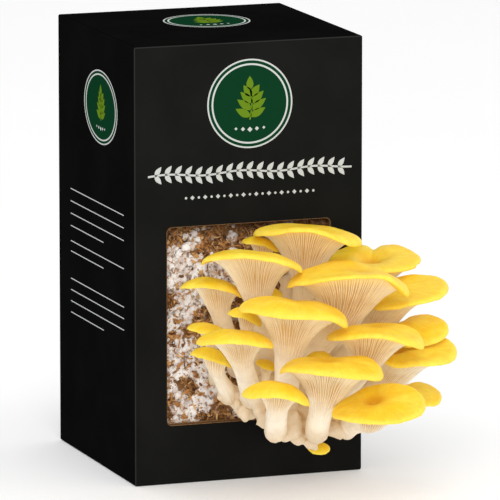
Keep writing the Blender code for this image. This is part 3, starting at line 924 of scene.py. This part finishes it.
def makeHusk(looks):
    material, tree, shader = newMaterial("husk", Roughness=0.75, Specular_IOR_Level=0.25)
    place = placeVector(tree)
    tone = stored(tree, "tone").outputs["Fac"]
    color = mixColor(tree, spread(tree, tone, 0.0, 0.55), rgb(*looks["pale"]), rgb(*looks["brown"]))
    color = mixColor(tree, spread(tree, tone, 0.65, 1.0), color, rgb(*looks["dark"]))
    color = mixColor(tree, mottle(tree, place, 500.0, 0.5, 0.75), color, rgb(*looks["dark"]))
    # Painted shadow along the window's top and behind the highest stems.
    color = mixColor(tree, stored(tree, "deep").outputs["Fac"], color, rgb(*looks["deep"]))
    tree.links.new(color, shader.inputs["Base Color"])
    addBump(tree, shader, grain(tree, place, 900.0, 2600.0, 0.5), 0.5, 0.0004)
    return material


mycelium = makeMycelium(myceliumLooks)
husk = makeHusk(huskLooks)


# How brown the block is at a place on its front, from 0 to 1. These three take metres.
def brownShare(x, z):
    cloud = noise.noise(Vector((x, 7.1, z)) * 62) + noise.noise(Vector((x, 9.4, z)) * 170) * 0.55
    edge = max(0.0, 1 - (0.147 - z) / 0.012) * 0.35 + max(0.0, 1 - (x + 0.049) / 0.010) * 0.3
    edge += max(0.0, 1 - (z - 0.0335) / 0.022) * 0.35 + float(ease(x, -0.037, -0.022)) * 0.24
    return float(ease(cloud + edge, 0.06, 0.5))


# Painted shadow: darker along the window's top, where the carton shades the block, and behind the highest
# stems.
def deepShade(x, z):
    top = float(ease(z, 0.134, 0.147)) * (0.55 + 0.35 * float(ease(x, -0.03, 0.02)))
    return max(top, 0.7 * float(ease(x, 0.0, 0.03)) * float(ease(z, 0.118, 0.14)))


# How far the block's front stands out. Its outer edges stay flat, clear of the carton.
def blockRelief(x, z):
    if abs(x) > 0.0645 or z < 0.004 or z > 0.226:
        return 0.0
    high = noise.noise(Vector((x, 0.3, z)) * 55) * 1.0
    high += 1.1 - abs(noise.noise(Vector((x, 1.3, z)) * 130)) * 3.4
    high += 0.5 - abs(noise.noise(Vector((x, 2.3, z)) * 330)) * 1.7
    high += noise.noise(Vector((x, 4.3, z)) * 900) * 0.25
    high -= brownShare(x, z) * 1.2
    return min(max(high, -2.6), 2.4) * mm


def fineLine(low, fineLow, fineHigh, high, pitch, coarse=8.0):
    below = np.linspace(low, fineLow, max(int((fineLow - low) / coarse), 1), endpoint=False)
    fine = np.linspace(fineLow, fineHigh, int((fineHigh - fineLow) / pitch), endpoint=False)
    above = np.linspace(fineHigh, high, max(int((high - fineHigh) / coarse), 1) + 1)
    return np.concatenate([below, fine, above]) * mm


def makeBlock(plan):
    xs = fineLine(-plan["half"], -plan["fineHalf"], plan["fineHalf"], plan["half"], plan["pitch"])
    zs = fineLine(plan["low"], plan["fineLow"], plan["fineHigh"], plan["high"], plan["pitch"])
    columns, rows = len(xs), len(zs)
    verts = [(x, plan["front"] * mm - blockRelief(x, z), z) for z in zs for x in xs]
    brown = [brownShare(x, z) for z in zs for x in xs]
    deep = [deepShade(x, z) for z in zs for x in xs]
    faces = []
    for row in range(rows - 1):
        for column in range(columns - 1):
            a = row * columns + column
            faces.append((a, a + 1, a + columns + 1, a + columns))
    edge = list(range(columns))
    edge += [row * columns + columns - 1 for row in range(1, rows)]
    edge += [(rows - 1) * columns + column for column in range(columns - 2, -1, -1)]
    edge += [row * columns for row in range(rows - 2, 0, -1)]
    first = len(verts)
    verts += [(verts[index][0], plan["back"] * mm, verts[index][2]) for index in edge]
    brown += [0.5] * len(edge)
    deep += [0] * len(edge)
    count = len(edge)
    for index in range(count):
        after = (index + 1) % count
        faces.append((edge[after], edge[index], first + index, first + after))
    faces.append(tuple(first + index for index in range(count))[::-1])
    piece = addPiece("strawBlock", verts, faces, mycelium, {"brown": brown, "deep": deep})
    return finishPiece(piece, "straw", "substrate_block")


huskKinds = {
    "flakes": {"long": (1.2, 3.0), "wide": (0.6, 1.35), "rise": (-0.4, 1.4),
               "thick": 0.14, "cup": 0.6, "tilt": 0.7},
    "straws": {"long": (2.2, 5.5), "wide": (0.18, 0.36), "rise": (-0.3, 0.9),
               "thick": 0.2, "cup": 0.1, "tilt": 0.3},
    "crumbs": {"long": (0.4, 0.9), "wide": (0.3, 0.6), "rise": (-0.3, 0.4),
               "thick": 0.3, "cup": 0.1, "tilt": 0.8},
}


def makeHusks(plan, chance):
    verts, faces, tones = [], [], []
    left, right, low, high = plan["huskArea"]
    steps = ((-1.0, 0.25), (-0.45, 0.9), (0.3, 1.0), (1.0, 0.15))  # place along the husk, and its width there
    for kind, form in huskKinds.items():
        made = 0
        while made < plan[kind]:
            x, z = chance.uniform(left, right), chance.uniform(low, high)
            if chance.random() > plan["scatter"] + (1 - plan["scatter"]) * brownShare(x * mm, z * mm):
                continue
            made += 1
            long, wide = chance.uniform(*form["long"]), chance.uniform(*form["wide"])
            turn, tilt = chance.uniform(0, 2 * np.pi), chance.normal(0, form["tilt"])
            spin, bend, tone = chance.normal(0, 0.7), chance.normal(0, 0.35), chance.random()
            y = plan["front"] - blockRelief(x * mm, z * mm) / mm - chance.uniform(*form["rise"])
            along = np.array((math.cos(turn) * math.cos(tilt), math.sin(tilt),
                              math.sin(turn) * math.cos(tilt)))
            side = unit(np.cross(along, (0, 1, 0)))
            front = np.cross(side, along)
            side, front = (side * math.cos(spin) + front * math.sin(spin),
                           front * math.cos(spin) - side * math.sin(spin))
            clear = abs(x) < plan["clearHalf"] and plan["clearLow"] < z < plan["clearHigh"]
            nearest = plan["nearest" if clear else "nearestAtEdge"]
            first = len(verts)
            for step, narrow in steps:
                arch = front * bend * long * (0.4 - step * step * 0.4)
                middle = np.array((x, y, z)) + along * step * long + arch
                cup = form["cup"] * wide * narrow
                for a, b in ((1, cup), (0, form["thick"]), (-1, cup), (0, -form["thick"])):
                    point = middle + side * a * wide * narrow + front * b
                    point[1] = min(max(point[1], nearest), plan["farthest"])
                    verts.append(point * mm)
                    tones.append(tone)
            for ring in range(3):
                for index in range(4):
                    after = (index + 1) % 4
                    a, b = first + ring * 4, first + (ring + 1) * 4
                    faces.append((a + index, a + after, b + after, b + index))
            faces.append((first + 3, first + 2, first + 1, first))
            faces.append((first + 12, first + 13, first + 14, first + 15))
    piece = addPiece("strawHusks", verts, faces, husk,
                     {"tone": tones, "deep": [deepShade(v[0], v[2]) for v in verts]}, flat=True)
    return finishPiece(piece, "straw")


def makePuffs(plan, chance):
    ballVerts, ballFaces = ballShape(2)
    left, right, low, high = plan["puffArea"]
    points, faces = [], []
    while len(points) < plan["puffs"]:
        x, z = chance.uniform(left, right), chance.uniform(low, high)
        if chance.random() < brownShare(x * mm, z * mm):
            continue
        size, turn = chance.uniform(0.7, 2.3), chance.uniform(0, np.pi)
        spot = np.array((x, plan["front"] - blockRelief(x * mm, z * mm) / mm + 0.3 * size, z))
        local = ballVerts * (size * chance.uniform(0.8, 1.6), size * 0.6, size * chance.uniform(0.8, 1.6))
        turned = np.stack([local[:, 0] * math.cos(turn) - local[:, 2] * math.sin(turn), local[:, 1],
                           local[:, 0] * math.sin(turn) + local[:, 2] * math.cos(turn)], -1)
        faces.append(ballFaces + len(points) * len(ballVerts))
        points.append((turned + spot) * mm)
    verts = np.concatenate(points)
    verts += pushes(verts, plan["puffPushScale"]) * plan["puffPush"] * mm
    verts[:, 1] = np.maximum(verts[:, 1], plan["puffNearest"] * mm)
    faces = np.concatenate(faces).tolist()
    piece = addPiece("myceliumPuffs", verts, faces, mycelium,
                     {"brown": np.zeros(len(verts)), "deep": [deepShade(v[0], v[2]) for v in verts]})
    return finishPiece(piece, "straw")


makeBlock(blockPlan)
makeHusks(blockPlan, np.random.default_rng(5))
makePuffs(blockPlan, np.random.default_rng(8))
print("straw block made")


# The carton's own solid stays visible. Its faces and folds are told apart by place, in metres.
cartonLooks = {
    # Painted light: the front is a lighter black than the side, top and back, for the light that falls on it.
    "front": (0.0085, 0.0086, 0.0080),
    "litFrontWorn": (0.0120, 0.0120, 0.0112),
    "side": (0.0036, 0.0036, 0.0035),
    "shadedSideWorn": (0.0052, 0.0052, 0.0050),
    "roughness": 0.6,
    "frontFace": -0.0676,
    "foldWearAndHighlight": (0.030, 0.030, 0.028),
    "foldFront": -0.0674,
    "foldLeft": -0.0674,
    "foldTop": 0.2494,
}


def makeBoard(looks):
    material, tree, shader = newMaterial("blackBoard", Roughness=looks["roughness"], Specular_IOR_Level=0.0)
    place = placeVector(tree)
    patches = mottle(tree, place, 28.0, 0.35, 0.7, 3.0)
    specks = mottle(tree, place, 900.0, 0.62, 0.8, 2.0)
    where = put(tree, "SeparateXYZ", {0: place}).outputs
    front = calc(tree, "LESS_THAN", where["Y"], looks["frontFace"])
    # Painted light: the front face gets the lighter black and the lighter wear.
    black = mixColor(tree, front, rgb(*looks["side"]), rgb(*looks["front"]))
    worn = mixColor(tree, front, rgb(*looks["shadedSideWorn"]), rgb(*looks["litFrontWorn"]))
    # Lighter strips along the front's left and top folds: fold wear and painted highlight.
    onFront = calc(tree, "LESS_THAN", where["Y"], looks["foldFront"])
    foldLeft = calc(tree, "MULTIPLY", onFront, calc(tree, "LESS_THAN", where["X"], looks["foldLeft"]))
    foldTop = calc(tree, "MULTIPLY", onFront, calc(tree, "GREATER_THAN", where["Z"], looks["foldTop"]))
    foldWearAndHighlight = calc(tree, "MULTIPLY", calc(tree, "MAXIMUM", foldLeft, foldTop), 0.8)
    wear = calc(tree, "MAXIMUM", calc(tree, "MULTIPLY", patches, 0.6), calc(tree, "MULTIPLY", specks, 0.5))
    black = mixColor(tree, wear, black, worn)
    tree.links.new(mixColor(tree, foldWearAndHighlight, black, rgb(*looks["foldWearAndHighlight"])), shader.inputs["Base Color"])
    addBump(tree, shader, grain(tree, place, 500.0, 1800.0, 0.5), 0.08, 0.0003)
    return material


blackBoard = makeBoard(cartonLooks)
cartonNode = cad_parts["carton"]
cartonNode.data.materials.clear()
cartonNode.data.materials.append(blackBoard)


# Prints are thin raised plates. Badge: middle and half sizes. Garland and dots: ends, height, size.
# Rules: top line, number of lines and their spacing. Leaf: place up the stalk, turn and length.
printPlan = {
    "white": (0.52, 0.54, 0.52),
    "green": (0.0040, 0.036, 0.0140),
    "leaf": (0.115, 0.205, 0.012),
    "layer": 0.03,
    "badge": (0.5, 214.9, 25.35, 25.35),
    "sideBadge": (9.1, 207.5, 29.5, 21.2),
    "topBadge": (3.9, 14.6, 25.0, 25.0),
    "garland": (-60.0, 61.5, 176.4, 10.5),
    "dots": (-37.5, 38.5, 163.2, 2.6),
    "rules": ((152.0, 4, 7.2), (121.5, 2, 6.0), (99.5, 4, 6.6)),
    "ruleEnds": (-46.0, 49.0),
    "ruleWide": 0.55,
    "lastRule": 0.62,
    "badgeRings": ((0.86, 0.9), (0.965, 1.0)),
    "badgeLeaves": ((0.1, 28, 10), (0.32, 36, 10.5), (0.54, 44, 9.5), (0.76, 54, 8)),
}


def makeInk(plan):
    material, tree, shader = newMaterial("cartonInk", Roughness=0.6, Specular_IOR_Level=0.0)
    place = placeVector(tree)
    ink = stored(tree, "ink").outputs["Fac"]
    color = mixColor(tree, calc(tree, "GREATER_THAN", ink, 0.5), rgb(*plan["white"]), rgb(*plan["green"]))
    color = mixColor(tree, calc(tree, "GREATER_THAN", ink, 1.5), color, rgb(*plan["leaf"]))
    worn = mottle(tree, place, 700.0, 0.62, 0.8, 3.0)
    color = mixColor(tree, calc(tree, "MULTIPLY", worn, 0.35), color, rgb(0.02, 0.02, 0.02))
    tree.links.new(color, shader.inputs["Base Color"])
    addBump(tree, shader, grain(tree, place, 500.0, 1800.0, 0.5), 0.08, 0.0003)
    return material


def discLine(x, z, wide, high, count=72):
    angle = np.linspace(0, 2 * np.pi, count, endpoint=False)
    return np.stack([x + wide * np.cos(angle), z + high * np.sin(angle)], -1)


def leafLine(x, z, long, wide, turn):
    share = np.linspace(0, 1, 9)
    half = wide / 2 * np.sin(np.pi * share ** 0.8)
    lower, upper = (np.stack([share * long, edge], -1) for edge in (-half, half))
    line = np.concatenate([lower, upper[-2:0:-1]])
    c, s = math.cos(math.radians(turn)), math.sin(math.radians(turn))
    return line @ np.array(((c, s), (-s, c))) + (x, z)


def makePrint(plan, material):
    verts, faces, inks = [], [], []

    def place(side, flat, deep):
        u, v = flat
        if side == "front":
            return u, -68 - deep, v
        if side == "left":
            return -68 - deep, -u, v
        return u, v, 250 + deep

    def addPlate(side, line, ink, layer):
        first, count = len(verts), len(line)
        for deep in (plan["layer"] * (layer + 1), plan["layer"] * 0.2):
            verts.extend(np.array(place(side, point, deep)) * mm for point in line)
        inks.extend([ink] * (2 * count))
        faces.append(tuple(range(first, first + count)))
        faces.append(tuple(range(first + 2 * count - 1, first + count - 1, -1)))
        for index in range(count):
            after = (index + 1) % count
            faces.append((first + after, first + index, first + count + index, first + count + after))

    def addRing(side, inner, outer, ink, layer):
        first, count = len(verts), len(inner)
        high, low = plan["layer"] * (layer + 1), plan["layer"] * 0.2
        for a, b in zip(inner, outer):
            for point, deep in ((a, high), (b, high), (b, low), (a, low)):
                verts.append(np.array(place(side, point, deep)) * mm)
        inks.extend([ink] * (4 * count))
        for index in range(count):
            after = (index + 1) % count
            for edge in range(4):
                other = (edge + 1) % 4
                faces.append((first + index * 4 + edge, first + index * 4 + other,
                              first + after * 4 + other, first + after * 4 + edge))

    def addStroke(side, line, wide, ink, layer):
        line = np.array(line, float)
        along = unit(np.gradient(line, axis=0))
        across = np.stack([-along[:, 1], along[:, 0]], -1) * wide / 2
        for index in range(len(line) - 1):
            a, b = line[index] - along[index] * 0.02, line[index + 1]
            addPlate(side, [a - across[index], b - across[index + 1], b + across[index + 1],
                            a + across[index]], ink, layer)

    def addBadge(side, badge):
        x, z, wide, high = badge
        small = high / 25
        addPlate(side, discLine(x, z, wide, high), 1, 0)
        for shares in plan["badgeRings"]:
            inner, outer = (discLine(x, z, wide * share, high * share) for share in shares)
            addRing(side, inner, outer, 0, 1)
        rise = np.linspace(0, 1, 9)
        addStroke(side, np.stack([x + 1.2 * small * np.sin(rise * 3), z + (-9 + 17 * rise) * small], -1),
                  0.9 * small, 2, 1)
        for share, turn, long in plan["badgeLeaves"]:
            stalk, up = x + 1.2 * small * math.sin(share * 3), z + (-9 + 17 * share) * small
            for way in (turn, 180 - turn):
                addPlate(side, leafLine(stalk, up, long * small, 4.4 * small, way), 2, 1)
        addPlate(side, leafLine(x, z + 7.5 * small, 8 * small, 4.2 * small, 90), 2, 1)
        for step in (-2, -1, 0, 1, 2):
            size = (1.5 - 0.3 * abs(step)) * small
            addPlate(side, discLine(x + 4.1 * step * small, z - 14.5 * small + 0.35 * abs(step) * small,
                                    size, size, 4), 0, 1)

    def addGarland(garland):
        low, high, z, tall = garland
        steps = np.linspace(low, high, 61)
        line = np.stack([steps, z + 0.8 * np.sin((steps - low) / 7.0)], -1)
        addStroke("front", line, 1.1, 0, 0)
        for index in range(2, 59, 3):
            x, middle = line[index]
            for turn in (52, -52):
                addPlate("front", leafLine(x, middle, tall * 0.6, 2.9, turn), 0, 0)

    for side, name in (("front", "badge"), ("left", "sideBadge"), ("top", "topBadge")):
        addBadge(side, plan[name])
    addGarland(plan["garland"])
    low, high, z, tall = plan["dots"]
    for index, x in enumerate(np.linspace(low, high, 21)):
        size = tall / 2 * (1 if index % 2 else 0.55)
        addPlate("front", discLine(x, z, size, size, 4 if index % 2 else 20), 0, 0)
    start, end = plan["ruleEnds"]
    for top, count, gap in plan["rules"]:
        for index in range(count):
            short = plan["lastRule"] if index == count - 1 else 1
            line = [(start + (end - start) * share * short, top - index * gap) for share in (0, 0.5, 1)]
            addStroke("left", line, plan["ruleWide"], 0, 0)
    piece = addPiece("cartonPrint", verts, faces, material, {"ink": inks}, flat=True)
    return finishPiece(piece, None)


makePrint(printPlan, makeInk(printPlan))
print("prints made")


edgePlan = {
    "half": 49,
    "low": 33.5,
    "high": 147,
    "radius": 3,
    "front": -68.04,
    "back": -66.4,
    "lip": 0.12,
    "proud": 0.4,
    "sillProud": 1.2,
    "pit": 0.5,
    "wave": 2.6,
    "pitch": 0.55,
    "kraft": (0.26, 0.14, 0.06),
    "shadow": (0.05, 0.025, 0.012),
}


def makeKraft(plan):
    material, tree, shader = newMaterial("kraftEdge", Roughness=0.9, Specular_IOR_Level=0.1)
    place = placeVector(tree)
    flecks = mottle(tree, place, 800.0, 0.45, 0.7)
    pit = stored(tree, "pit").outputs["Fac"]
    color = mixColor(tree, calc(tree, "MULTIPLY", flecks, 0.6), rgb(*plan["kraft"]), rgb(*plan["shadow"]))
    # Painted shade in the flute pits; the flecks before it are the card's own dark specks.
    color = mixColor(tree, pit, color, rgb(*plan["shadow"]))
    tree.links.new(color, shader.inputs["Base Color"])
    addBump(tree, shader, grain(tree, place, 900.0, 2400.0), 0.6, 0.0003)
    return material


def windowLine(plan):
    half, low, high, radius = plan["half"], plan["low"], plan["high"], plan["radius"]
    corners = ((half - radius, low + radius, -90), (half - radius, high - radius, 0),
               (-half + radius, high - radius, 90), (-half + radius, low + radius, 180))

    def onCorner(corner, turn):
        x, z, first = corner
        angle = math.radians(first + turn)
        return np.array((x + radius * math.cos(angle), z + radius * math.sin(angle))), angle

    points = []
    for index, corner in enumerate(corners):
        for step in range(9):
            spot, angle = onCorner(corner, 90 * step / 8)
            points.append((spot[0], spot[1], angle))
        start, angle = onCorner(corner, 90)
        end = onCorner(corners[(index + 1) % 4], 0)[0]
        parts = int(lengths(end - start) / plan["pitch"])
        for part in range(1, parts):
            spot = start + (end - start) * part / parts
            points.append((spot[0], spot[1], angle))
    return points


def makeWindowEdge(plan, material):
    line = windowLine(plan)
    count, along = len(line), 0.0
    depth = plan["back"] - plan["front"]
    total = 2 * (plan["high"] - plan["low"]) + 4 * plan["half"]
    waves = round(total / plan["wave"])
    lip = ((plan["lip"], 0.05), (plan["lip"] * 0.5, -0.06))
    shares = (0.12, 0.24, 0.36, 0.5, 0.64, 0.76, 0.88, 1.0)  # of the card's thickness
    verts, values = [], []
    for index, (x, z, angle) in enumerate(line):
        out = np.array((math.cos(angle), math.sin(angle)))
        before = line[index - 1]
        along += math.hypot(x - before[0], z - before[1]) if index else 0
        centre = 0.5 + 0.3 * math.sin(2 * math.pi * waves * along / total)
        fuzz = noise.noise(Vector((x * 0.9, 5, z * 0.9))) * 0.12
        ring = [(wide + fuzz, deep, 0.15) for wide, deep in lip]
        down = max(-out[1], 0) ** 2
        proud = plan["proud"] + (plan["sillProud"] - plan["proud"]) * down
        ring.append((-0.15 + fuzz, 0.0, 0.0))
        for share in shares:
            liner = share < 0.2 or share > 0.85
            near = math.exp(-((share - centre) / 0.13) ** 2)
            pit = 0 if liner else 1 - near
            slant = -0.15 - (proud - 0.15) * share
            ring.append((slant + plan["pit"] * pit + fuzz * 0.5, share * depth, pit))
        ring.append((0.2, depth, 0.3))
        for wide, deep, pit in ring:
            spot = (x + out[0] * wide, plan["front"] + deep, z + out[1] * wide)
            verts.append(np.array(spot) * mm)
            values.append(pit)
    size = len(verts) // count
    faces = []
    for index in range(count):
        after = (index + 1) % count
        for row in range(size):
            down = (row + 1) % size
            faces.append((index * size + row, after * size + row, after * size + down, index * size + down))
    piece = addPiece("windowEdge", verts, faces, material, {"pit": values})
    return finishPiece(piece, None)


makeWindowEdge(edgePlan, makeKraft(edgePlan))
print("carton dressed")


# Each light has a place, a size and a power.
stagePlan = {
    "floor": (0.84, 0.84, 0.84),
    "floorGlow": 0.2,
    "world": 0.86,
    "key": ((-0.7, -1.85, 1.15), 1.1, 10.5),
    "low": ((-0.45, -2.1, 0.2), 1.2, 5.5),
    "fill": ((1.3, -1.2, 0.8), 1.2, 3.5),
    "top": ((0.0, -0.7, 1.9), 0.8, 4.0),
    "aim": (0.02, -0.09, 0.1),
}


def makeStage(plan):
    mesh = bpy.data.meshes.new("floor")
    mesh.from_pydata([(-6, -6, 0), (6, -6, 0), (6, 6, 0), (-6, 6, 0)], [], [(0, 1, 2, 3)])
    floor = bpy.data.objects.new("floor", mesh)
    scene.collection.objects.link(floor)
    floor.location.z = cadLow.z - 0.0002
    material, tree, shader = newMaterial("paleFloor", Roughness=0.8)
    color = mixColor(tree, mottle(tree, placeVector(tree), 3.0, 0.3, 0.7), rgb(*plan["floor"]),
                     rgb(*(value * 0.985 for value in plan["floor"])))
    tree.links.new(color, shader.inputs["Base Color"])
    shader.inputs["Emission Color"].default_value = (1, 1, 1, 1)
    shader.inputs["Emission Strength"].default_value = plan["floorGlow"]
    mesh.materials.append(material)
    world = bpy.data.worlds.new("studio")
    scene.world = world
    world.use_nodes = True
    tree = world.node_tree
    background = tree.nodes["Background"]
    seen = put(tree, "LightPath").outputs["Is Camera Ray"]
    strength = put(tree, "Mix", {0: seen, 2: plan["world"], 3: 1.0}, data_type="FLOAT").outputs[0]
    background.inputs["Color"].default_value = (1, 1, 1, 1)
    tree.links.new(strength, background.inputs["Strength"])
    for name in ("key", "low", "fill", "top"):
        spot, size, power = plan[name]
        lamp = bpy.data.lights.new(name, "AREA")
        lamp.shape, lamp.size, lamp.energy = "DISK", size, power
        light = bpy.data.objects.new(name, lamp)
        scene.collection.objects.link(light)
        light.location = spot
        light.rotation_mode = "QUATERNION"
        light.rotation_quaternion = (Vector(plan["aim"]) - Vector(spot)).to_track_quat("-Z", "Y")


makeStage(stagePlan)
